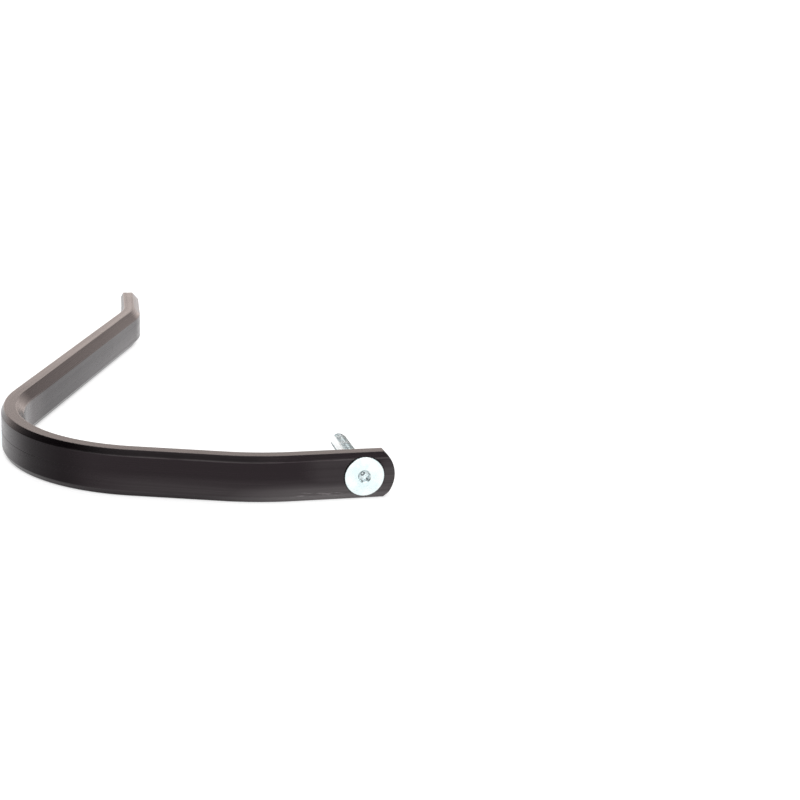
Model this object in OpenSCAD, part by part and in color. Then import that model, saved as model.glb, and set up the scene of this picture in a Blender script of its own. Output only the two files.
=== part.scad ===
// Hand guard for a motorcycle handlebar: one bent aluminium bar and the bolt that holds it to the bar end.
// The guard lies flat, as it is fitted: its plan shape is in X and Y, its height is Z.
// The origin is where the bolt leaves the inner face of the bar, and +Y runs along the bolt into the handlebar.

/* [Bar section] */
// Height of the bar
bar_height = 22; // [18:0.5:30]
// Thickness of the bar, from the outer face to the inner face
bar_thickness = 11; // [10:0.5:14]
// Depth of the chamfers along the outer face, measured through the thickness
outer_chamfer_depth = 1.4; // [0.5:0.1:2.5]
// Height of the chamfers along the outer face
outer_chamfer_height = 2.7; // [0.5:0.1:3.5]
// Depth of the chamfers along the inner face, measured through the thickness
inner_chamfer_depth = 3.8; // [1:0.1:5]
// Height of the chamfers along the inner face
inner_chamfer_height = 4.4; // [1:0.1:6]

/* [Bend line] */
// Straight from the bolt to the bow, along the outer face
bolt_leg = 33; // [20:0.5:80]
// Radius of the slight bow in the near arm, at the outer face
bow_radius = 100; // [60:1:200]
// Angle of the bow
bow_angle = 18.5; // [5:0.5:30]
// Straight between the bow and the corner
near_leg = 42.5; // [10:0.5:80]
// Radius of the corner, at the outer face
corner_radius = 80; // [50:1:110]
// Angle of the corner
corner_angle = 94; // [75:0.5:100]
// Straight of the arm that runs back to the handlebar
far_leg = 178.5; // [120:0.5:240]
// Radius of the reverse bend before the clamp end, at the outer face
reverse_radius = 50; // [20:1:90]
// Angle of the reverse bend
reverse_angle = 18.2; // [5:0.1:30]
// Straight of the clamp end
clamp_leg = 39; // [25:0.5:60]

/* [Ends] */
// Radius of the rounded end, about the bolt
end_radius = 14.5; // [13:0.5:18]
// Diameter of the hole for the clamp bolt
clamp_hole_d = 8.4; // [6.4:0.1:10.5]
// Distance from the clamp end to the middle of its hole
clamp_hole_inset = 10; // [8:0.5:15]

/* [End bolt] */
// Diameter of the plain shank in the bar, which is drawn in below the thread
shank_d = 7.2; // [5.2:0.1:7.4]
// Outer diameter of the thread
thread_d = 7.9; // [5.9:0.1:7.9]
// Length of the bolt, with its head
bolt_length = 55; // [45:1:90]
// Diameter of the countersunk head
head_d = 18.6; // [15:0.2:19]
// Height of the straight rim of the head
rim_height = 1.2; // [0.5:0.1:2]
// Bevel on the top edge of the rim
rim_bevel = 0.3; // [0.1:0.1:0.4]
// Size of the hexagonal socket across its flats
socket_af = 5; // [4:0.5:6]
// Depth of the socket
socket_depth = 3.6; // [2:0.1:4]
// Turn of the socket from level, as the tightened bolt leaves it
socket_turn = 12; // [0:1:60]
// Width of the cone that leads into the socket, beyond its flats
socket_lead = 1.3; // [0.6:0.1:1.6]
// Chamfer on the tip of the thread
tip_chamfer = 1.1; // [0.5:0.1:1.8]

/* [Fits] */
// Gap around the rim of the head, in the mouth of its seat
rim_gap = 0.4; // [0.2:0.1:0.6]
// Clearance between the cone of the head and its seat
seat_clearance = 0.03; // [0.02:0.01:0.1]
// Clearance around the thread in the hole of the bar, on the diameter
hole_clearance = 0.5; // [0.3:0.1:0.8]

/* [Hidden] */
BLACK = [0.16, 0.15, 0.16];
ZINC = [0.86, 0.9, 0.92];
// Most degrees that one facet of a bend turns
bend_step = 3;
round_facets = 96;
// How far a cut runs past the surface that it opens
past = 1;

half_height = bar_height / 2;
outer_flat = half_height - outer_chamfer_height;
inner_flat = half_height - inner_chamfer_height;
inner_edge = bar_thickness - inner_chamfer_depth;

// Section of the bar: [offset inwards from the outer face, height from the middle of the bar]
SECTION = [
    [0, -outer_flat],
    [0, outer_flat],
    [outer_chamfer_depth, half_height],
    [inner_edge, half_height],
    [bar_thickness, inner_flat],
    [bar_thickness, -inner_flat],
    [inner_edge, -half_height],
    [outer_chamfer_depth, -half_height]
];

// The bar from the bolt to the clamp end, each leg with the bend after it: [length, bend radius, bend angle]
// A bend with a positive angle turns towards the inner side.
LEGS = [
    [bolt_leg, bow_radius, bow_angle],
    [near_leg, corner_radius, corner_angle],
    [far_leg, reverse_radius, -reverse_angle],
    [clamp_leg, 0, 0]
];

// Place on the outer face at the bolt: [x, y, heading]
START = [0, -bar_thickness, 180];

// Place on the outer face further along a straight
function along(place, length) = [
    place[0] + length * cos(place[2]),
    place[1] + length * sin(place[2]),
    place[2]
];

// Place on the outer face further round a bend
function around(place, radius, angle) =
    let (
        side = sign(angle) * radius,
        heading = place[2] - angle
    )
    [
        place[0] + side * (sin(place[2]) - sin(heading)),
        place[1] - side * (cos(place[2]) - cos(heading)),
        heading
    ];

// Place at the start of a numbered leg
function leg_start(index) =
    index == 0 ? START :
    let (before = along(leg_start(index - 1), LEGS[index - 1][0]))
    around(before, LEGS[index - 1][1], LEGS[index - 1][2]);

// Places along one bend, from the end of its leg, a few degrees apart
function bend_places(index) =
    let (
        first = along(leg_start(index), LEGS[index][0]),
        turn = LEGS[index][2],
        steps = ceil(abs(turn) / bend_step)
    )
    [for (i = [0 : steps]) around(first, LEGS[index][1], turn * i / steps)];

last_leg = len(LEGS) - 1;
CLAMP_END = along(leg_start(last_leg), LEGS[last_leg][0]);

// Every place where the section stands, from beyond the bolt to the clamp end
PLACES = concat(
    [along(START, -end_radius)],
    [for (index = [0 : last_leg - 1]) each bend_places(index)],
    [CLAMP_END]
);

// The section of the bar in space, standing square to the run of the bar
function ring(place) = [
    for (point = SECTION) [
        place[0] + point[0] * sin(place[2]),
        place[1] - point[0] * cos(place[2]),
        point[1]
    ]
];

// The whole length of the bar, its section swept along the bend line
module swept_bar() {
    sides = len(SECTION);
    last = len(PLACES) - 1;
    start_cap = [for (k = [0 : sides - 1]) k];
    end_cap = [for (k = [sides - 1 : -1 : 0]) last * sides + k];
    walls = [
        for (i = [0 : last - 1])
            for (k = [0 : sides - 1])
                [
                    i * sides + k,
                    (i + 1) * sides + k,
                    (i + 1) * sides + (k + 1) % sides,
                    i * sides + (k + 1) % sides
                ]
    ];
    polyhedron(
        points = [for (place = PLACES) each ring(place)],
        faces = concat([start_cap], walls, [end_cap]),
        convexity = 6
    );
}

// What is cut away beyond the bolt, to leave the end as an arc about it
module end_cut() {
    reach = end_radius + past;
    rotate([90, 0, 0])
        translate([0, 0, -past])
            difference() {
                translate([0, -reach, 0])
                    cube([reach, 2 * reach, bar_thickness + 2 * past]);
                translate([0, 0, -past])
                    cylinder(r = end_radius, h = bar_thickness + 4 * past, $fn = round_facets);
            }
}

// Countersunk hole for the bolt, cut from the outer face
module bolt_hole() {
    hole_r = (thread_d + hole_clearance) / 2;
    mouth_r = head_d / 2 + rim_gap;
    translate([0, -bar_thickness, 0])
        rotate([-90, 0, 0]) {
            translate([0, 0, -past])
                cylinder(r = hole_r, h = bar_thickness + 2 * past, $fn = round_facets);
            translate([0, 0, -past])
                cylinder(r1 = mouth_r + past, r2 = hole_r, h = mouth_r + past - hole_r, $fn = round_facets);
        }
}

// Hole for the clamp bolt, square through the clamp end
module clamp_hole() {
    place = along(CLAMP_END, -clamp_hole_inset);
    translate([place[0], place[1], 0])
        rotate([0, 0, place[2]])
            translate([0, past, 0])
                rotate([90, 0, 0])
                    cylinder(d = clamp_hole_d, h = bar_thickness + 2 * past, $fn = round_facets);
}

module guard_bar() {
    color(BLACK)
        difference() {
            swept_bar();
            end_cut();
            bolt_hole();
            clamp_hole();
        }
}

// Heights along the bolt, from the inner face of the bar towards the tip
rim_base = rim_gap - seat_clearance * sqrt(2) - bar_thickness;
head_top = rim_base - rim_height;
shank_top = rim_base + (head_d - shank_d) / 2;
tip = head_top + bolt_length;

module bolt_body() {
    rotate_extrude($fn = round_facets)
        polygon([
            [0, head_top],
            [head_d / 2 - rim_bevel, head_top],
            [head_d / 2, head_top + rim_bevel],
            [head_d / 2, rim_base],
            [shank_d / 2, shank_top],
            [shank_d / 2, 0],
            [thread_d / 2, 0],
            [thread_d / 2, tip - tip_chamfer],
            [thread_d / 2 - tip_chamfer, tip],
            [0, tip]
        ]);
}

// Hexagonal socket with a cone at its mouth and a drill point at its floor
module socket() {
    lead_r = (socket_af + socket_lead) / 2;
    drill_r = 0.45 * socket_af;
    drill_tip_r = 0.1 * socket_af;
    translate([0, 0, head_top]) {
        rotate([0, 0, -socket_turn])
            cylinder(d = socket_af / cos(30), h = socket_depth, $fn = 6);
        translate([0, 0, -past])
            cylinder(r1 = lead_r + past, r2 = drill_r, h = lead_r + past - drill_r, $fn = round_facets);
        translate([0, 0, socket_depth])
            cylinder(r1 = drill_r, r2 = drill_tip_r, h = (drill_r - drill_tip_r) * tan(30), $fn = round_facets);
    }
}

module end_bolt() {
    color(ZINC)
        rotate([-90, 0, 0])
            difference() {
                bolt_body();
                socket();
            }
}

guard_bar();
end_bolt();
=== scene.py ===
"""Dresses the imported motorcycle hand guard: a bent black bar and its zinc plated end bolt, on a pale stage."""

from math import cos, hypot, pi, radians, sin, tan

import bmesh
import bpy
import numpy as np
from mathutils import Matrix, Vector


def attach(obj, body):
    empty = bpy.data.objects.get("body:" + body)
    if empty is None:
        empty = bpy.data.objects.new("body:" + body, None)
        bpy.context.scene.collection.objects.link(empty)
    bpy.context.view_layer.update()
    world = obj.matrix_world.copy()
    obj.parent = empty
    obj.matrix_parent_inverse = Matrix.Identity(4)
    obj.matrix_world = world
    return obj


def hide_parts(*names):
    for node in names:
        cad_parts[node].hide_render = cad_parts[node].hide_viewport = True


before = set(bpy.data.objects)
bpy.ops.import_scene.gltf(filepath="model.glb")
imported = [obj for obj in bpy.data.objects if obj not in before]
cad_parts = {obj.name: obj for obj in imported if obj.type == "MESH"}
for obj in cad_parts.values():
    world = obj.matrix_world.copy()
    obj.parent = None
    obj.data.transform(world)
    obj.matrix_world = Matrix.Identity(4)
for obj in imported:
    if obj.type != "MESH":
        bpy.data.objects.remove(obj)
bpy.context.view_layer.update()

bl_info = {
    "name": "Motorcycle hand guard",
    "version": (1, 0, 0),
    "blender": (4, 5, 0),
    "location": "3D View > Sidebar > Hand guard",
    "description": "Builds a bent hand guard bar with its end bolt, and a studio stage to show it on",
    "category": "Add Mesh",
}

MM = 0.001


class GuardBarSettings(bpy.types.PropertyGroup):
    """Sizes and colour of the bent bar."""

    height: bpy.props.FloatProperty(
        name="Height", description="Height of the bar's section", default=22 * MM, unit="LENGTH")
    thickness: bpy.props.FloatProperty(
        name="Thickness", description="From the outer face to the inner face", default=11 * MM, unit="LENGTH")
    outer_chamfer_depth: bpy.props.FloatProperty(
        name="Outer chamfer depth", description="Through the thickness", default=1.4 * MM, unit="LENGTH")
    outer_chamfer_height: bpy.props.FloatProperty(
        name="Outer chamfer height", description="Along the outer face", default=2.7 * MM, unit="LENGTH")
    inner_chamfer_depth: bpy.props.FloatProperty(
        name="Inner chamfer depth", description="Through the thickness", default=3.8 * MM, unit="LENGTH")
    inner_chamfer_height: bpy.props.FloatProperty(
        name="Inner chamfer height", description="Along the inner face", default=4.4 * MM, unit="LENGTH")
    edge_rounding: bpy.props.FloatProperty(
        name="Edge rounding", description="Radius of the lengthwise edges", default=0.55 * MM, unit="LENGTH")
    cut_easing: bpy.props.FloatProperty(
        name="Cut easing", description="Width of the eased edges of the holes and ends", default=0.22 * MM,
        unit="LENGTH")
    end_radius: bpy.props.FloatProperty(
        name="End radius", description="Radius of the rounded end about the bolt", default=14.5 * MM,
        unit="LENGTH")
    bolt_hole: bpy.props.FloatProperty(
        name="Bolt hole", description="Diameter of the hole for the end bolt", default=8.4 * MM, unit="LENGTH")
    seat_mouth: bpy.props.FloatProperty(
        name="Seat mouth", description="Diameter of the countersink at the outer face", default=19.4 * MM,
        unit="LENGTH")
    clamp_hole: bpy.props.FloatProperty(
        name="Clamp hole", description="Diameter of the hole in the clamp end", default=8.4 * MM, unit="LENGTH")
    clamp_inset: bpy.props.FloatProperty(
        name="Clamp hole inset", description="From the clamp end to its hole", default=10 * MM, unit="LENGTH")
    colour: bpy.props.FloatVectorProperty(
        name="Anodised colour", description="Colour of the black anodised layer",
        default=(0.0024, 0.0017, 0.0021), size=3, min=0, max=1, subtype="COLOR")
    # Colour of scuffs and specks, and also of the painted highlight on edges and the painted light on the inner
    # face
    worn_and_lit_colour: bpy.props.FloatVectorProperty(
        name="Worn and lit colour", description="Colour of the edges and scuffs", default=(0.19, 0.18, 0.18),
        size=3, min=0, max=1, subtype="COLOR")
    roughness: bpy.props.FloatProperty(
        name="Roughness", description="Roughness of the satin surface", default=0.25, min=0, max=1,
        subtype="FACTOR")
    tint: bpy.props.FloatVectorProperty(
        name="Dye tint", description="Tint that the dyed layer gives to what it mirrors",
        default=(1.0, 0.80, 0.88), size=3, min=0, max=1, subtype="COLOR")


class EndBoltSettings(bpy.types.PropertyGroup):
    """Sizes and colour of the countersunk bolt."""

    length: bpy.props.FloatProperty(
        name="Length", description="Length with the head", default=55 * MM, unit="LENGTH")
    head: bpy.props.FloatProperty(
        name="Head", description="Diameter of the countersunk head", default=18.6 * MM, unit="LENGTH")
    rim: bpy.props.FloatProperty(
        name="Rim", description="Height of the straight rim of the head", default=1.2 * MM, unit="LENGTH")
    proud: bpy.props.FloatProperty(
        name="Proud", description="How far the head stands out of the bar", default=0.8424 * MM, unit="LENGTH")
    shank: bpy.props.FloatProperty(
        name="Shank", description="Diameter of the plain shank in the bar", default=7.2 * MM, unit="LENGTH")
    thread: bpy.props.FloatProperty(
        name="Thread", description="Outer diameter of the thread", default=7.9 * MM, unit="LENGTH")
    pitch: bpy.props.FloatProperty(
        name="Pitch", description="Pitch of the thread", default=1.25 * MM, unit="LENGTH")
    thread_depth: bpy.props.FloatProperty(
        name="Thread depth", description="Depth of the thread's groove", default=0.767 * MM, unit="LENGTH")
    socket: bpy.props.FloatProperty(
        name="Socket", description="Hexagonal socket across its flats", default=5 * MM, unit="LENGTH")
    socket_depth: bpy.props.FloatProperty(
        name="Socket depth", description="Depth of the hexagon", default=3.6 * MM, unit="LENGTH")
    socket_turn: bpy.props.FloatProperty(
        name="Socket turn", description="Turn of the socket from level", default=radians(12), unit="ROTATION")
    socket_lead: bpy.props.FloatProperty(
        name="Socket lead", description="Width of the cone at the socket's mouth", default=1.3 * MM,
        unit="LENGTH")
    colour: bpy.props.FloatVectorProperty(
        name="Zinc colour", description="Colour of the bright zinc plating", default=(0.73, 0.85, 0.865),
        size=3, min=0, max=1, subtype="COLOR")
    # Painted shade down in the thread's grooves
    groove_shade_colour: bpy.props.FloatVectorProperty(
        name="Groove shade", description="Colour down in the thread", default=(0.43, 0.51, 0.56),
        size=3, min=0, max=1, subtype="COLOR")


class StageSettings(bpy.types.PropertyGroup):
    """Camera, floor and light."""

    lens: bpy.props.FloatProperty(
        name="Focal length", description="Focal length on a 36 mm sensor, in millimetres", default=70.344)
    floor_level: bpy.props.FloatProperty(
        name="Floor level", description="Height of the floor under the bar", default=-11 * MM, unit="LENGTH")
    floor_colour: bpy.props.FloatVectorProperty(
        name="Floor colour", description="Colour of the floor", default=(0.5, 0.5, 0.505),
        size=3, min=0, max=1, subtype="COLOR")
    # The floor's painted glow: emission that keeps it bright, though it is no lamp
    floor_glow: bpy.props.FloatProperty(
        name="Floor glow", description="Light that the translucent floor gives by itself", default=0.95)
    back_colour: bpy.props.FloatVectorProperty(
        name="Backdrop colour", description="Light of the backdrop", default=(1.0, 0.87, 0.81),
        size=3, min=0, max=1, subtype="COLOR")
    back_strength: bpy.props.FloatProperty(
        name="Backdrop strength", description="Strength of the light from behind", default=2.5)
    top_strength: bpy.props.FloatProperty(
        name="Top strength", description="Strength of the light from above", default=1.6)
    room_strength: bpy.props.FloatProperty(
        name="Room strength", description="Strength of the light of the room", default=0.3)
    side_strength: bpy.props.FloatProperty(
        name="Side strength", description="Strength of the light from the front on the left", default=2.4)


# Bend line at the outer face, as in the part's source
# Each entry is a straight, then the radius and the angle of the bend after it.
LEGS = (
    (33 * MM, 100 * MM, 18.5),
    (42.5 * MM, 80 * MM, 94.0),
    (178.5 * MM, 50 * MM, -18.2),
    (39 * MM, 0.0, 0.0),
)
DEGREES_A_STEP = 1.5

# Places along the run of the bar, in metres from the bolt, where its surface changes and where painted shade
# lies
BY_THE_BOLT = 0.015
# Middle of the painted shade, a duller copy of the layer, on the outer face round the corner
DULLED_CORNER = 0.152
# Where the corner lies in shade, and the painted edge highlight fades
SHADED_CORNER = 0.19
CORNER_END = 0.228

# Small sizes of the bolt that have no setting, and how finely its thread is drawn
RIM_BEVEL = 0.3 * MM
RIM_EASING = 0.1 * MM
SHANK_NECK = 0.9 * MM
TIP_CHAMFER = 1.1 * MM
RINGS_A_PITCH = 14
TIP_RINGS = 8
BOLT_SEGMENTS = 64

# How far a cutting solid runs past the surface that it opens
PAST_BAR = 2 * MM
PAST_BOLT = 1 * MM

CAMERA_PLACE = (-0.169062, -0.669437, 0.236186)
CAMERA_TURN = (73.6601, -2.2662, -14.9948)
FLOOR_REACH = 40.0

# Lights: name, place, aim, size, power and colour
LIGHTS = (
    ("front softbox", (0.2, -1.3, 0.42), (0.0, 0.0, 0.0), 0.7, 5.5, (1.0, 0.99, 0.98)),
    ("shaft card", (-0.035, 0.03, 0.012), (0.0, 0.03, 0.002), 0.02, 0.005, (1.0, 1.0, 1.0)),
)


def line_and_bends(bar):
    """The bend line as stretches from beyond the bolt on, and the place and heading of its end.

    Each stretch is (along, x, y, heading, length, signed radius).
    """
    stretches = []
    along, x, y, heading = -bar.end_radius, bar.end_radius, -bar.thickness, pi
    for index, (leg, radius, angle) in enumerate(LEGS):
        length = leg + (bar.end_radius if index == 0 else 0)
        stretches.append((along, x, y, heading, length, 0.0))
        x, y, along = x + length * cos(heading), y + length * sin(heading), along + length
        if angle:
            turn = radians(angle)
            side = radius if turn > 0 else -radius
            stretches.append((along, x, y, heading, abs(turn) * radius, side))
            after = heading - turn
            x, y = x + side * (sin(heading) - sin(after)), y - side * (cos(heading) - cos(after))
            along, heading = along + abs(turn) * radius, after
    return stretches, (x, y, heading)


def bend_corners(bar):
    """Corner points of the bend line, with the radius and the steps of the bend at each."""
    points, radii, steps = [(bar.end_radius, -bar.thickness, 0.0)], [0.0], [1]
    x, y, heading, before = 0.0, -bar.thickness, pi, 0.0
    for leg, radius, angle in LEGS:
        reach = radius * tan(radians(abs(angle)) / 2)
        length = before + leg + reach
        x, y = x + length * cos(heading), y + length * sin(heading)
        points.append((x, y, 0.0))
        radii.append(radius)
        steps.append(max(1, round(abs(angle) / DEGREES_A_STEP)))
        heading, before = heading - radians(angle), reach
    return points, radii, steps


def section_corners(bar):
    """Corners of the section, as (inwards from the outer face, height)."""
    half = bar.height / 2
    outer, inner = half - bar.outer_chamfer_height, half - bar.inner_chamfer_height
    edge = bar.thickness - bar.inner_chamfer_depth
    return [(0, -outer), (0, outer), (bar.outer_chamfer_depth, half), (edge, half), (bar.thickness, inner),
            (bar.thickness, -inner), (edge, -half), (bar.outer_chamfer_depth, -half)]


class Value:
    """A number on its way through a node tree. Its arithmetic adds Math nodes."""

    def __init__(self, tree, socket):
        self.tree, self.socket = tree, socket

    def math(self, operation, *others):
        return self.tree.node("ShaderNodeMath", {"operation": operation}, self, *others)["Value"]

    def __add__(self, other):
        return self.math("ADD", other)

    def __radd__(self, other):
        return self.math("ADD", other)

    def __sub__(self, other):
        return self.math("SUBTRACT", other)

    def __rsub__(self, other):
        return (self * -1).math("ADD", other)

    def __mul__(self, other):
        return self.math("MULTIPLY", other)

    def __rmul__(self, other):
        return self.math("MULTIPLY", other)

    def __truediv__(self, other):
        return self.math("DIVIDE", other)

    def __pow__(self, other):
        return self.math("POWER", other)

    def __abs__(self):
        return self.math("ABSOLUTE")

    def least(self, other):
        return self.math("MINIMUM", other)

    def most(self, other):
        return self.math("MAXIMUM", other)

    def rise(self, low, high):
        """0 below low, 1 above high and a smooth step between. With low above high it falls instead."""
        if low > high:
            return 1 - self.rise(high, low)
        settings = {"interpolation_type": "SMOOTHSTEP"}
        return self.tree.node("ShaderNodeMapRange", settings, self, low, high, 0.0, 1.0)["Result"]

    def near(self, middle, outside, inside):
        """1 within one distance of a value, 0 beyond another and a smooth step between."""
        return abs(self - middle).rise(outside, inside)


class Node:
    """A node whose outputs are read by name."""

    def __init__(self, tree, node):
        self.tree, self.node = tree, node

    def __getitem__(self, name):
        return Value(self.tree, self.node.outputs[name])


class Tree:
    """A node tree that is written with one method."""

    def __init__(self, tree):
        self.tree = tree

    def node(self, kind, settings=None, *values, **named):
        """Adds a node of a kind, sets its settings first, then its inputs in order or by name."""
        new = self.tree.nodes.new(kind)
        for name, value in (settings or {}).items():
            setattr(new, name, value)
        pairs = list(zip(new.inputs, values)) + [(new.inputs[name.replace("_", " ")], value)
                                                 for name, value in named.items()]
        for socket, value in pairs:
            if isinstance(value, Value):
                self.tree.links.new(value.socket, socket)
            elif value is not None:
                socket.default_value = value
        return Node(self, new)

    def blend(self, share, first, second):
        """A colour between two, by a share from 0 to 1."""
        new = self.tree.nodes.new("ShaderNodeMix")
        new.data_type = "RGBA"
        for socket, value in ((new.inputs[0], share), (new.inputs[6], first), (new.inputs[7], second)):
            if isinstance(value, Value):
                self.tree.links.new(value.socket, socket)
            else:
                socket.default_value = value
        return Value(self, new.outputs[2])


def opaque(colour, scale=1.0):
    """A colour with full alpha, made lighter or darker by a factor."""
    return tuple(min(1.0, part * scale) for part in colour) + (1.0,)


def new_material(name):
    """A cleared material, its tree and its output."""
    material = bpy.data.materials.new(name)
    material.use_nodes = True
    material.node_tree.nodes.clear()
    tree = Tree(material.node_tree)
    output = material.node_tree.nodes.new("ShaderNodeOutputMaterial")
    return material, tree, output


def scaled(tree, vector, scale, shift=(0.0, 0.0, 0.0)):
    """A vector times three factors, then moved."""
    return tree.node("ShaderNodeMapping", {}, vector, shift, (0.0, 0.0, 0.0), scale)["Vector"]


def noise(tree, vector, scale, detail, rough):
    """Noise around a half, by its scale, its number of finer layers and their strength."""
    new = tree.node("ShaderNodeTexNoise", {}, Vector=vector, Scale=scale, Detail=detail, Roughness=rough)
    return new["Fac"]


def scuffs_by_bolt(tree, place):
    """Fine level scratches low on the outer face beside the bolt."""
    where = tree.node("ShaderNodeSeparateXYZ", {}, place)
    beside = where["X"].rise(-36 * MM, -27 * MM) * where["X"].rise(-9 * MM, -12 * MM)
    low = where["Z"].rise(-9.4 * MM, -8.2 * MM) * where["Z"].rise(-6.2 * MM, -7.6 * MM)
    outside = where["Y"].rise(-10.2 * MM, -10.8 * MM)
    streaks = noise(tree, scaled(tree, place, (160.0, 160.0, 2100.0)), 1.0, 4.0, 0.7)
    return beside * low * outside * streaks.rise(0.5, 0.7)


def paler_places(along, inwards, height, on_face, bands):
    """Share of a paler colour on the bar: low on the near outer face, by the bolt, on the chamfer edges, and as
    painted light on the inner face.
    """
    # Lighter towards the bottom of the near outer face, and round the bolt
    low_on_face = on_face * height.rise(2 * MM, -8 * MM) * along.rise(0.14, 0.1)
    low_by_bolt = height.rise(0.0, -9 * MM) * 0.52 * along.near(BY_THE_BOLT, 0.07, 0.01)
    beyond_bolt = along.rise(-5 * MM, -11 * MM) * height.rise(11 * MM, 2 * MM) * 0.24
    beside_bolt = along.near(12 * MM, 20 * MM, 6 * MM) * 0.1
    near_bolt = on_face * low_by_bolt.most(beyond_bolt).most(beside_bolt)
    pale_share = (low_on_face * bands.rise(0.1, 0.6) * 0.15).most(near_bolt * bands.rise(-0.2, 0.7))

    # Painted light: the inner face of the far arm lighter, more so low down, with a painted highlight where the
    # corner ends
    inner_face = inwards.rise(10.3 * MM, 10.8 * MM)
    on_arm = along.rise(0.25, 0.46) * (0.16 + 0.3 * height.rise(4 * MM, -5 * MM))
    pale_share = pale_share.most(inner_face * (on_arm + along.near(CORNER_END, 0.035, 0.004) * 0.5))

    # Lighter chamfer edges, most on the lower edge by the bolt
    chamfer = inwards.rise(1.9 * MM, 1.5 * MM)
    low_edge = height.rise(-8 * MM, -8.6 * MM) * (0.04 + 0.46 * along.near(BY_THE_BOLT, 0.07, 0.0))
    high_edge = height.rise(8 * MM, 8.6 * MM) * along.rise(0.03, 0.05) * along.rise(0.14, 0.115) * 0.05
    return pale_share.most(chamfer * low_edge.most(high_edge))


def anodised_black(bar):
    """Black anodised layer on drawn aluminium.

    It has lengthwise draw lines, soft bands, a die line, scuffs and specks, edges worn in patches with a painted
    highlight, paler places, painted light on the inner face and painted shade round the corner.
    """
    material, tree, output = new_material("black anodised aluminium")
    run = tree.node("ShaderNodeAttribute", {"attribute_name": "run"})["Vector"]
    split = tree.node("ShaderNodeSeparateXYZ", {}, run)
    along, inwards, height = split["X"], split["Y"], split["Z"]
    place = tree.node("ShaderNodeTexCoord")["Object"]

    lines = noise(tree, scaled(tree, run, (14.0, 2600.0, 2600.0)), 1.0, 3.0, 0.6)
    bands = noise(tree, scaled(tree, run, (5.0, 330.0, 330.0)), 1.0, 2.0, 0.5)
    patches = noise(tree, place, 38.0, 3.0, 0.6)
    grain = noise(tree, place, 5200.0, 2.0, 0.6)

    face_across, face_up = section_corners(bar)[1]
    from_edge = abs(inwards - face_across).most(abs(abs(height) - face_up))
    # Edges worn in patches, with a painted highlight: stronger on the upper half, fading where the corner lies
    # in shade
    out_of_corner_shade = abs(along - SHADED_CORNER).rise(0.035, 0.075) * (0.15 + 0.85 * height.rise(0.0, 2 * MM))
    rubbed_and_highlit = from_edge.rise(0.55 * MM, 0.1 * MM) * patches.rise(0.25, 0.6) * 0.34 * out_of_corner_shade
    on_face = inwards.rise(0.5 * MM, 0.1 * MM)
    die_line = on_face * abs(height).rise(0.3 * MM, 0.05 * MM) * along.rise(0.12, 0.16)
    shade_at_corner = on_face * along.near(DULLED_CORNER, 0.03, 0.008)
    pale_share = paler_places(along, inwards, height, on_face, bands)
    scuffs = scuffs_by_bolt(tree, place)
    cells = tree.node("ShaderNodeTexVoronoi", {"feature": "F1"}, Vector=place, Scale=150.0, Randomness=1.0)
    chosen = tree.node("ShaderNodeSeparateColor", {}, cells["Color"])["Red"].rise(0.955, 0.96)
    specks = cells["Distance"].rise(0.045, 0.02) * chosen

    colour = tree.blend(bands.rise(0.3, 0.7), opaque(bar.colour, 0.78), opaque(bar.colour, 1.3))
    colour = tree.blend(pale_share, colour, opaque(bar.worn_and_lit_colour))
    colour = tree.blend(rubbed_and_highlit, colour, opaque(bar.worn_and_lit_colour, 0.5))
    colour = tree.blend((scuffs * 0.45).most(specks * 0.9), colour, opaque(bar.worn_and_lit_colour, 1.9))
    roughness = bar.roughness + (lines - 0.5) * 0.16 + (bands - 0.5) * 0.2 + (patches - 0.5) * 0.1
    roughness = roughness + scuffs.most(specks).most(die_line) * 0.25
    relief = lines * 0.55 + grain * 0.25 + bands * 0.9 - die_line * 2.5
    bump = tree.node("ShaderNodeBump", {}, Strength=0.35, Distance=0.02 * MM, Height=relief)["Normal"]

    def layer(index):
        return tree.node("ShaderNodeBsdfPrincipled", {}, Base_Color=colour, Roughness=roughness, Normal=bump,
                         IOR=index, Specular_Tint=opaque(bar.tint))["BSDF"]

    # Painted shade: a duller copy of the layer, with a lower IOR, on the outer face round the corner
    glossy, dull = layer(1.35), layer(1.23)
    mixed = tree.node("ShaderNodeMixShader", {}, shade_at_corner, glossy, dull)["Shader"]
    material.node_tree.links.new(mixed.socket, output.inputs["Surface"])
    return material


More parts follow.
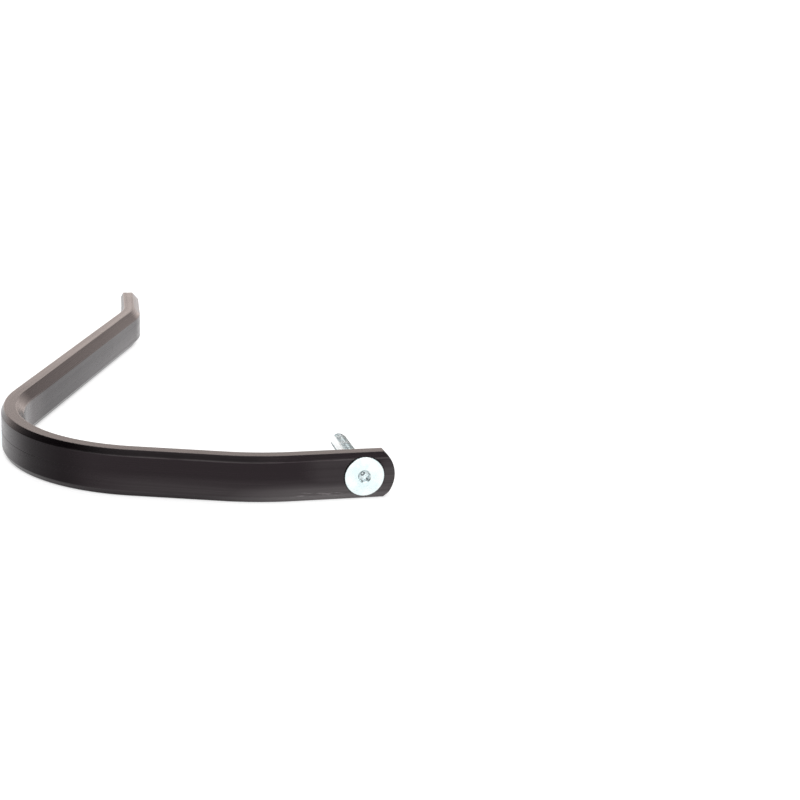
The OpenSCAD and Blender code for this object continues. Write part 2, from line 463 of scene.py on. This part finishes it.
def bright_zinc(bolt, bar):
    """Bright zinc plating with a faint blue cast and turned rings on the head.

    The thread has painted shade in its grooves, a painted highlight along one side with a painted dark line
    beyond it, and dark spots, partly painted shade, on the other. The socket has painted light inside, with
    painted shade at its corners and round the drill point.
    """
    material, tree, output = new_material("bright zinc plating")
    place = tree.node("ShaderNodeTexCoord")["Object"]
    groove = tree.node("ShaderNodeAttribute", {"attribute_name": "groove"})["Fac"]
    cast = noise(tree, place, 170.0, 2.0, 0.5)
    mottle = noise(tree, place, 900.0, 4.0, 0.65)
    split = tree.node("ShaderNodeSeparateXYZ", {}, place)
    x, y, z = split["X"], split["Y"], split["Z"]
    from_axis = (x * x + z * z) ** 0.5
    ring_place = tree.node("ShaderNodeCombineXYZ", {}, from_axis * 5200.0, 0.0, 0.0)["Vector"]
    rings = noise(tree, ring_place, 1.0, 2.0, 0.5)

    floor = bolt.socket_depth - bar.thickness - bolt.proud
    # Painted light: the inside of the socket paler and rougher
    sunk = from_axis.rise(2.95 * MM, 2.85 * MM) * y.rise(floor - 3.3 * MM, floor - 2.6 * MM)
    sunk = sunk * y.rise(floor + 2 * MM, floor + 1.5 * MM)
    # Painted shade round the drill point and in the corners of the hexagon
    by_drill_point = from_axis.rise(0.45 * MM, 0.55 * MM) * from_axis.rise(1.15 * MM, 0.95 * MM)
    by_drill_point = by_drill_point * y.rise(floor - 0.4 * MM, floor)
    socket_shade = sunk * by_drill_point.most(from_axis.rise(2.6 * MM, 2.8 * MM))

    across = x * 0.81 + z * 0.58
    on_thread = groove.rise(0.0, 0.02)
    # Painted highlight: a pale sheen along one side of the thread
    side_highlight = on_thread * across.rise(-3.5 * MM, -3.0 * MM) * across.rise(0.1 * MM, -0.5 * MM)
    # Painted shade: a dark line along the edge of the shaft beyond the highlight
    dark_shaft_edge = on_thread * across.rise(-3.2 * MM, -3.45 * MM)
    # Dark mottled spots, partly painted shade: in the grooves and on the side away from the highlight
    high_side = on_thread * across.rise(-0.5 * MM, 0.3 * MM)
    dark_spots = mottle.rise(0.46, 0.56) * (0.3 * groove + 0.6 * high_side)

    colour = tree.blend(cast.rise(0.35, 0.65), opaque(bolt.colour), opaque((0.87, 0.92, 0.915)))
    # Painted shade in the grooves of the thread
    colour = tree.blend(groove ** 0.9, colour, opaque(bolt.groove_shade_colour))
    colour = tree.blend(dark_spots, colour, opaque(bolt.groove_shade_colour, 0.4))
    colour = tree.blend(side_highlight, colour, opaque((0.97, 0.98, 0.98)))
    colour = tree.blend(dark_shaft_edge * 0.85, colour, opaque((0.1, 0.12, 0.13)))
    colour = tree.blend(sunk * 0.9, colour, opaque((0.93, 0.98, 0.99)))
    colour = tree.blend(socket_shade * 0.8, colour, opaque((0.05, 0.05, 0.06)))
    roughness = 0.22 + mottle * 0.1 + groove * 0.12 + side_highlight * 0.4 + sunk * 0.42
    relief = mottle * 0.4 + rings * 0.6
    bump = tree.node("ShaderNodeBump", {}, Strength=0.1, Distance=0.02 * MM, Height=relief)["Normal"]
    shader = tree.node("ShaderNodeBsdfPrincipled", {}, Base_Color=colour, Roughness=roughness, Normal=bump,
                       Metallic=1.0)
    material.node_tree.links.new(shader["BSDF"].socket, output.inputs["Surface"])
    return material


def new_object(name, mesh):
    """An object in the scene with a mesh."""
    made = bpy.data.objects.new(name, mesh)
    bpy.context.scene.collection.objects.link(made)
    return made


def mesh_from(name, points, edges=(), faces=()):
    """A mesh from its points and from edges or faces that number them."""
    mesh = bpy.data.meshes.new(name)
    mesh.from_pydata(points, edges, faces)
    mesh.update()
    return mesh


def settled(made):
    """Puts what the modifiers make into the object's own mesh, and removes them."""
    graph = bpy.context.evaluated_depsgraph_get()
    mesh = bpy.data.meshes.new_from_object(made.evaluated_get(graph))
    made.modifiers.clear()
    old, made.data = made.data, mesh
    if old.users == 0:
        bpy.data.meshes.remove(old)
    mesh.name = made.name
    if not mesh.polygons:
        raise RuntimeError("Nothing is left of " + made.name)
    return made


def facing_out(mesh, weld=0.001 * MM):
    """Merges doubles and turns every face outwards."""
    work = bmesh.new()
    work.from_mesh(mesh)
    bmesh.ops.remove_doubles(work, verts=work.verts, dist=weld)
    bmesh.ops.recalc_face_normals(work, faces=work.faces)
    work.to_mesh(mesh)
    work.free()
    mesh.update()


def lathe(name, outline, segments):
    """A closed solid of revolution about Y. Its outline of (radius, y) starts and ends on the axis."""
    points, rings, faces = [], [], []
    for radius, y in outline:
        if radius < 1e-9:
            rings.append([len(points)])
            points.append((0.0, y, 0.0))
            continue
        rings.append(list(range(len(points), len(points) + segments)))
        points += [(radius * cos(2 * pi * k / segments), y, radius * sin(2 * pi * k / segments))
                   for k in range(segments)]
    for low, high in zip(rings, rings[1:]):
        for k in range(segments):
            after = (k + 1) % segments
            corners = (low[k % len(low)], low[after % len(low)], high[after % len(high)], high[k % len(high)])
            faces.append(list(dict.fromkeys(corners)))
    mesh = mesh_from(name, points, faces=faces)
    facing_out(mesh)
    return mesh


def prism(name, outline, start, end):
    """A solid between two heights on Y from an outline of (x, z)."""
    count = len(outline)
    points = [(x, start, z) for x, z in outline] + [(x, end, z) for x, z in outline]
    faces = [list(range(count)), list(range(count, 2 * count))]
    faces += [[k, (k + 1) % count, count + (k + 1) % count, count + k] for k in range(count)]
    mesh = mesh_from(name, points, faces=faces)
    facing_out(mesh)
    return mesh


def cut(made, mesh, transform=None):
    """Takes a solid out of an object."""
    if transform is not None:
        mesh.transform(transform)
    tool = new_object(mesh.name, mesh)
    modifier = made.modifiers.new("cut", "BOOLEAN")
    modifier.operation = "DIFFERENCE"
    modifier.solver = "EXACT"
    modifier.object = tool
    settled(made)
    bpy.data.objects.remove(tool)
    bpy.data.meshes.remove(mesh)


def new_tree(name, inputs):
    """A Geometry Nodes tree, its writer and its inputs. The named inputs are each (name, kind, default)."""
    group = bpy.data.node_groups.new(name, "GeometryNodeTree")
    group.interface.new_socket("Geometry", in_out="INPUT", socket_type="NodeSocketGeometry")
    for label, kind, default in inputs:
        socket = group.interface.new_socket(label, in_out="INPUT", socket_type=kind)
        if default is not None:
            socket.default_value = default
    group.interface.new_socket("Geometry", in_out="OUTPUT", socket_type="NodeSocketGeometry")
    tree = Tree(group)
    return group, tree, Node(tree, group.nodes.new("NodeGroupInput"))


def end_tree(tree, geometry, material):
    """Ends a tree in plain geometry with its material."""
    real = tree.node("GeometryNodeRealizeInstances", {}, geometry)["Geometry"]
    dressed = tree.node("GeometryNodeSetMaterial", {}, Geometry=real, Material=material)["Geometry"]
    tree.node("NodeGroupOutput", {}, dressed)


def run_tree(made, group, **values):
    """Runs a tree on an object, with its inputs set by name, and keeps the result as a plain mesh."""
    modifier = made.modifiers.new(group.name, "NODES")
    modifier.node_group = group
    for item in group.interface.items_tree:
        label = item.name.replace(" ", "_").lower()
        if item.in_out == "INPUT" and label in values:
            modifier[item.identifier] = values[label]
    return settled(made)


def swept_bar_tree():
    """Rounds the corners of a bend line and of a section, and sweeps the section along the line."""
    group, tree, given = new_tree("Bar along a bend line", (
        ("Section", "NodeSocketObject", None), ("Edge Rounding", "NodeSocketFloat", 0.35 * MM),
        ("Rounding Steps", "NodeSocketInt", 5), ("Material", "NodeSocketMaterial", None)))

    def named(kind, name):
        return tree.node("GeometryNodeInputNamedAttribute", {"data_type": kind}, name)["Attribute"]

    line = tree.node("GeometryNodeMeshToCurve", {}, given["Geometry"])["Curve"]
    line = tree.node("GeometryNodeFilletCurve", {"mode": "POLY"}, Curve=line, Count=named("INT", "bend_steps"),
                     Radius=named("FLOAT", "bend_radius"))["Curve"]
    line = tree.node("GeometryNodeSetCurveNormal", {"mode": "Z_UP"}, Curve=line)["Curve"]
    shape = tree.node("GeometryNodeObjectInfo", {"transform_space": "ORIGINAL"}, given["Section"])["Geometry"]
    shape = tree.node("GeometryNodeMeshToCurve", {}, shape)["Curve"]
    shape = tree.node("GeometryNodeFilletCurve", {"mode": "POLY"}, Curve=shape, Count=given["Rounding Steps"],
                      Radius=given["Edge Rounding"])["Curve"]
    swept = tree.node("GeometryNodeCurveToMesh", {}, Curve=line, Profile_Curve=shape, Fill_Caps=True)["Mesh"]
    end_tree(tree, swept, given["Material"])
    return group


def thread_tree():
    """Cuts a helical thread into the marked stretch of a shaft about Y."""
    group, tree, given = new_tree("Thread on a shaft", (
        ("Pitch", "NodeSocketFloat", 1.25 * MM), ("Depth", "NodeSocketFloat", 0.767 * MM),
        ("Material", "NodeSocketMaterial", None)))
    place = tree.node("GeometryNodeInputPosition")["Position"]
    split = tree.node("ShaderNodeSeparateXYZ", {}, place)
    marked = tree.node("GeometryNodeInputNamedAttribute", {"data_type": "FLOAT"}, "threaded")["Attribute"]
    turn = split["Z"].math("ARCTAN2", split["X"]) / (2 * pi)
    phase = (split["Y"] / given["Pitch"] + turn).math("FRACT")
    from_crest = phase.least(1 - phase) * given["Pitch"]
    crest, flank = given["Pitch"] / 16, tan(radians(60))
    depth = ((from_crest - crest).most(0.0) * flank).least(given["Depth"]) * marked
    radius = (split["X"] * split["X"] + split["Z"] * split["Z"]) ** 0.5
    share = 1 - depth / radius.most(0.1 * MM)
    moved = tree.node("ShaderNodeCombineXYZ", {}, split["X"] * share, split["Y"], split["Z"] * share)["Vector"]
    stored = tree.node("GeometryNodeStoreNamedAttribute", {"data_type": "FLOAT", "domain": "POINT"},
                       Geometry=given["Geometry"], Name="groove", Value=depth / given["Depth"])["Geometry"]
    placed = tree.node("GeometryNodeSetPosition", {}, Geometry=stored, Position=moved)["Geometry"]
    end_tree(tree, placed, given["Material"])
    return group


def locate(stretches, x, y):
    """Distance along the bend line and inwards from it, for points of the plan."""
    best = np.full(len(x), np.inf)
    along, inwards = np.zeros(len(x)), np.zeros(len(x))
    for start, x0, y0, heading, length, radius in stretches:
        if radius == 0:
            s = (x - x0) * cos(heading) + (y - y0) * sin(heading)
            t = (x - x0) * sin(heading) - (y - y0) * cos(heading)
        else:
            cx, cy = x0 + radius * sin(heading), y0 - radius * cos(heading)
            side = 1 if radius > 0 else -1
            t = radius - side * np.hypot(x - cx, y - cy)
            outward = np.arctan2(side * (y - cy), side * (x - cx))
            turned = (heading + pi / 2 - outward + pi) % (2 * pi) - pi
            s = side * turned * abs(radius)
        off = np.maximum(np.maximum(-s, s - length), 0)
        closer = off < best - 1e-9
        best[closer], along[closer], inwards[closer] = off[closer], (start + s)[closer], t[closer]
    return along, inwards


def store(mesh, name, kind, values):
    """Stores a number or a vector for each point of a mesh."""
    layer = mesh.attributes.new(name, kind, "POINT")
    field = "vector" if kind == "FLOAT_VECTOR" else "value"
    layer.data.foreach_set(field, np.asarray(values, dtype=np.float32).ravel())


def sweep_bar(bar, material):
    """The bar swept along its bend line by Geometry Nodes, with its lengthwise edges rounded."""
    points, radii, steps = bend_corners(bar)
    mesh = mesh_from("guard_bar_piece", points, edges=[(k, k + 1) for k in range(len(points) - 1)])
    store(mesh, "bend_radius", "FLOAT", radii)
    steps_layer = mesh.attributes.new("bend_steps", "INT", "POINT")
    steps_layer.data.foreach_set("value", steps)
    made = new_object("guard_bar_piece", mesh)
    corners = section_corners(bar)
    section = mesh_from("section", [(across, up, 0.0) for across, up in corners],
                        edges=[(k, (k + 1) % len(corners)) for k in range(len(corners))])
    outline = new_object("section", section)
    run_tree(made, swept_bar_tree(), section=outline, edge_rounding=bar.edge_rounding, material=material)
    bpy.data.objects.remove(outline)
    facing_out(made.data)
    return made


def cut_bar(made, bar, clamp_end):
    """Rounds the bar's end about the bolt, and cuts the bolt's seat and the clamp hole."""
    past, face = PAST_BAR, -bar.thickness
    arc = [(bar.end_radius * cos(radians(a)), bar.end_radius * sin(radians(a))) for a in range(-90, 91, 2)]
    beyond = bar.end_radius + past
    outline = arc + [(0.0, beyond), (beyond, beyond), (beyond, -beyond), (0.0, -beyond)]
    cut(made, prism("end_cut", outline, face - past, past))
    hole, mouth = bar.bolt_hole / 2, bar.seat_mouth / 2
    seat = [(0, face - past), (mouth + past, face - past), (hole, face + mouth - hole), (hole, past), (0, past)]
    cut(made, lathe("seat_cut", seat, 96))
    x, y, heading = clamp_end
    radius, through = bar.clamp_hole / 2, bar.thickness + past
    drill = [(0, -past), (radius, -past), (radius, through), (0, through)]
    spot = Matrix.Translation((x - bar.clamp_inset * cos(heading), y - bar.clamp_inset * sin(heading), 0))
    cut(made, lathe("clamp_cut", drill, 72), spot @ Matrix.Rotation(heading - pi, 4, "Z"))


def ease_cuts(made, bar):
    """Eases the edges that the cuts left, and shades the bar smooth between its sharp edges."""
    ease = made.modifiers.new("ease", "BEVEL")
    ease.limit_method, ease.angle_limit = "ANGLE", radians(38)
    ease.width, ease.segments, ease.use_clamp_overlap = bar.cut_easing, 2, True
    settled(made)
    mesh = made.data
    mesh.shade_smooth()
    mesh.set_sharp_from_angle(angle=radians(34))
    weigh = made.modifiers.new("weigh", "WEIGHTED_NORMAL")
    weigh.keep_sharp = True
    settled(made)


def mark_run(mesh, stretches):
    """Stores the run of each point for the material: along the bar, inwards from its outer face, and height."""
    places = np.empty(len(mesh.vertices) * 3, dtype=np.float32)
    mesh.vertices.foreach_get("co", places)
    places = places.reshape(-1, 3).astype(float)
    along, inwards = locate(stretches, places[:, 0], places[:, 1])
    store(mesh, "run", "FLOAT_VECTOR", np.stack([along, inwards, places[:, 2]], 1))


def make_bar(bar):
    """The bar: swept, rounded at the bolt, drilled twice, its cut edges eased."""
    material = anodised_black(bar)
    stretches, clamp_end = line_and_bends(bar)
    made = sweep_bar(bar, material)
    cut_bar(made, bar, clamp_end)
    ease_cuts(made, bar)
    mark_run(made.data, stretches)
    made.data.materials.clear()
    made.data.materials.append(material)
    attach(made, "root")
    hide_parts("guard_bar")
    return made


def bolt_outline(bolt, top):
    """The bolt's outline as points of (radius, y), and how fully the thread is cut at each of them."""
    head, thread, shank = bolt.head / 2, bolt.thread / 2, bolt.shank / 2
    rim_base, tip = top + bolt.rim, top + bolt.length
    outline = [
        (0, top),
        (head - RIM_BEVEL * 1.3, top),
        (head - RIM_BEVEL * 0.6, top + RIM_BEVEL * 0.14),
        (head - RIM_BEVEL * 0.14, top + RIM_BEVEL * 0.6),
        (head, top + RIM_BEVEL * 1.3),
        (head, rim_base - RIM_EASING),
        (head - RIM_EASING * 0.6, rim_base + RIM_EASING / 2),
        (shank, rim_base + head - shank),
        (shank, -SHANK_NECK),
        (thread, -0.02 * MM),
    ]
    cut_share = [0.0] * len(outline)
    thread_end = tip - TIP_CHAMFER
    count = round(thread_end / bolt.pitch * RINGS_A_PITCH)
    step = thread_end / count
    for k in range(count + 1):
        outline.append((thread, k * step))
        cut_share.append(min(1.0, k * step / bolt.pitch + 0.35))
    for k in range(1, TIP_RINGS + 1):
        drop = k / TIP_RINGS * TIP_CHAMFER
        outline.append((thread - drop, thread_end + drop))
        cut_share.append(max(0.0, 1 - drop / bolt.thread_depth))
    return outline + [(0, tip)], cut_share + [0.0]


def cut_socket(made, bolt, top):
    """Cuts the hexagon, the cone at its mouth and the drill point at its floor."""
    past = PAST_BOLT
    across = bolt.socket / cos(radians(30)) / 2
    corners = [bolt.socket_turn + radians(60 * k) for k in range(6)]
    hexagon = [(across * cos(angle), across * sin(angle)) for angle in corners]
    cut(made, prism("hexagon_cut", hexagon, top - past, top + bolt.socket_depth))
    lead, drill, point = (bolt.socket + bolt.socket_lead) / 2, 0.45 * bolt.socket, 0.1 * bolt.socket
    cone_end = top + lead - drill
    cone = [(0, top - past), (lead + past, top - past), (drill, cone_end), (0, cone_end)]
    cut(made, lathe("lead_cut", cone, 72))
    floor = top + bolt.socket_depth
    deep = floor + (drill - point) * tan(radians(30))
    drill_cut = [(0, floor - past), (drill, floor - past), (drill, floor), (point, deep), (0, deep)]
    cut(made, lathe("drill_cut", drill_cut, 48))


def make_bolt(bolt, bar):
    """The countersunk bolt: turned, threaded by Geometry Nodes, with a hexagonal socket."""
    top = -bar.thickness - bolt.proud
    outline, cut_share = bolt_outline(bolt, top)
    mesh = lathe("end_bolt_piece", outline, BOLT_SEGMENTS)
    made = new_object("end_bolt_piece", mesh)
    heights, cut_share = np.array([y for _, y in outline]), np.array(cut_share)
    skin = (bolt.thread / 2 - bolt.thread_depth) * 0.9
    marks = [
        float(np.interp(vertex.co.y, heights, cut_share)) if hypot(vertex.co.x, vertex.co.z) > skin else 0.0
        for vertex in mesh.vertices
    ]
    store(mesh, "threaded", "FLOAT", marks)
    material = bright_zinc(bolt, bar)
    run_tree(made, thread_tree(), pitch=bolt.pitch, depth=bolt.thread_depth, material=material)
    cut_socket(made, bolt, top)
    mesh = made.data
    facing_out(mesh)
    mesh.shade_smooth()
    mesh.set_sharp_from_angle(angle=radians(28))
    mesh.materials.clear()
    mesh.materials.append(material)
    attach(made, "root")
    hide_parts("end_bolt")
    return made


def make_camera(stage):
    """The camera, at the place and angle that the photograph was taken from."""
    camera = bpy.data.cameras.new("camera")
    camera.lens, camera.sensor_width, camera.sensor_fit = stage.lens, 36.0, "HORIZONTAL"
    camera.clip_start, camera.clip_end = 0.01, 60.0
    made = bpy.data.objects.new("camera", camera)
    bpy.context.scene.collection.objects.link(made)
    made.location = CAMERA_PLACE
    made.rotation_euler = [radians(angle) for angle in CAMERA_TURN]
    bpy.context.scene.camera = made


def make_floor(stage):
    """A wide round floor with a faint painted glow, weaker in front, and a painted contact shadow where the bar
    meets it.
    """
    sides = 96
    angles = [2 * pi * k / sides for k in range(sides)]
    points = [(FLOOR_REACH * cos(angle), FLOOR_REACH * sin(angle), stage.floor_level) for angle in angles]
    floor = new_object("floor", mesh_from("floor", points, faces=[list(range(sides))]))
    material, tree, output = new_material("pale floor")
    # Painted contact shadow: the glow dims by ambient occlusion where the bar meets the floor
    unshadowed_share = tree.node("ShaderNodeAmbientOcclusion", {"samples": 8}, Distance=1.3 * MM)["AO"] ** 0.28
    depth = tree.node("ShaderNodeSeparateXYZ", {}, tree.node("ShaderNodeTexCoord")["Object"])["Y"]
    # The painted glow is weaker towards the front
    spread = tree.blend(depth.rise(0.0, 0.15), opaque((1, 1, 1), 0.75), opaque((1, 1, 1), 0.87))
    glow = tree.blend(unshadowed_share, opaque((0, 0, 0)), spread)
    shader = tree.node("ShaderNodeBsdfPrincipled", {}, Base_Color=opaque(stage.floor_colour), Roughness=0.9,
                       Specular_IOR_Level=0.1, Emission_Color=glow, Emission_Strength=stage.floor_glow)
    material.node_tree.links.new(shader["BSDF"].socket, output.inputs["Surface"])
    floor.data.materials.append(material)


def make_surround(stage):
    """The room by direction: a warm backdrop, light above and in front on the left, and dark up on the left."""
    world = bpy.data.worlds.new("surround")
    bpy.context.scene.world = world
    world.use_nodes = True
    world.node_tree.nodes.clear()
    tree = Tree(world.node_tree)
    way = tree.node("ShaderNodeSeparateXYZ", {}, tree.node("ShaderNodeTexCoord")["Generated"])
    x, y, z = way["X"], way["Y"], way["Z"]
    level = (x * x + y * y).most(0.0001) ** 0.5
    aside = x / level
    behind = aside.rise(-0.95, -0.3) * aside.rise(1.3, 0.3) * y.rise(0.0, 0.2) * z.rise(0.62, 0.1)
    above = z.rise(0.72, 0.86) * x.rise(-0.65, -0.32)
    shade = x.rise(-0.3, -0.6) * z.rise(0.15, 0.4)
    beside = aside.rise(-0.85, -0.72) * aside.rise(-0.25, -0.38) * z.rise(-0.05, 0.05) * z.rise(0.5, 0.4)
    beside = beside * y.rise(0.0, -0.2)
    dim = (1 - shade) * stage.room_strength
    room = (above * stage.top_strength).most(dim).most(beside * stage.side_strength)
    backdrop = tree.node("ShaderNodeBackground", {}, opaque(stage.back_colour), behind * stage.back_strength)
    rest = tree.node("ShaderNodeBackground", {}, (1.0, 1.0, 1.0, 1.0), room * (1 - behind))
    both = tree.node("ShaderNodeAddShader", {}, backdrop["Background"], rest["Background"])["Shader"]
    output = world.node_tree.nodes.new("ShaderNodeOutputWorld")
    world.node_tree.links.new(both.socket, output.inputs["Surface"])


def make_light(name, place, aim, size, power, colour):
    """A square soft light that the camera doesn't see."""
    light = bpy.data.lights.new(name, "AREA")
    light.shape, light.size, light.energy, light.color = "SQUARE", size, power, colour
    made = bpy.data.objects.new(name, light)
    bpy.context.scene.collection.objects.link(made)
    made.location = place
    made.rotation_euler = (Vector(aim) - Vector(place)).to_track_quat("-Z", "Y").to_euler()
    made.visible_camera = False


class HANDGUARD_OT_bar(bpy.types.Operator):
    """Build the bent bar of the hand guard"""

    bl_idname = "hand_guard.bar"
    bl_label = "Bent bar"

    def execute(self, context):
        make_bar(context.scene.guard_bar)
        return {"FINISHED"}


class HANDGUARD_OT_bolt(bpy.types.Operator):
    """Build the countersunk bolt in the rounded end"""

    bl_idname = "hand_guard.bolt"
    bl_label = "End bolt"

    def execute(self, context):
        make_bolt(context.scene.end_bolt, context.scene.guard_bar)
        return {"FINISHED"}


class HANDGUARD_OT_stage(bpy.types.Operator):
    """Set the camera, the floor and the light"""

    bl_idname = "hand_guard.stage"
    bl_label = "Stage"

    def execute(self, context):
        stage = context.scene.guard_stage
        make_camera(stage)
        make_floor(stage)
        make_surround(stage)
        for light in LIGHTS:
            make_light(*light)
        context.scene.view_settings.view_transform = "Standard"
        return {"FINISHED"}


class HANDGUARD_PT_panel(bpy.types.Panel):
    """Buttons and sizes of the hand guard"""

    bl_idname = "HANDGUARD_PT_panel"
    bl_label = "Hand guard"
    bl_space_type = "VIEW_3D"
    bl_region_type = "UI"
    bl_category = "Hand guard"

    def draw(self, context):
        groups = ((HANDGUARD_OT_bar, context.scene.guard_bar), (HANDGUARD_OT_bolt, context.scene.end_bolt),
                  (HANDGUARD_OT_stage, context.scene.guard_stage))
        for operator, settings in groups:
            box = self.layout.box()
            box.operator(operator.bl_idname)
            for name in settings.__annotations__:
                box.prop(settings, name)


CLASSES = (GuardBarSettings, EndBoltSettings, StageSettings, HANDGUARD_OT_bar, HANDGUARD_OT_bolt,
           HANDGUARD_OT_stage, HANDGUARD_PT_panel)


def register():
    for each in CLASSES:
        bpy.utils.register_class(each)
    bpy.types.Scene.guard_bar = bpy.props.PointerProperty(type=GuardBarSettings)
    bpy.types.Scene.end_bolt = bpy.props.PointerProperty(type=EndBoltSettings)
    bpy.types.Scene.guard_stage = bpy.props.PointerProperty(type=StageSettings)


def unregister():
    del bpy.types.Scene.guard_bar
    del bpy.types.Scene.end_bolt
    del bpy.types.Scene.guard_stage
    for each in reversed(CLASSES):
        bpy.utils.unregister_class(each)


def main():
    register()
    bpy.ops.hand_guard.bar()
    bpy.ops.hand_guard.bolt()
    bpy.ops.hand_guard.stage()


if __name__ == "__main__":
    main()
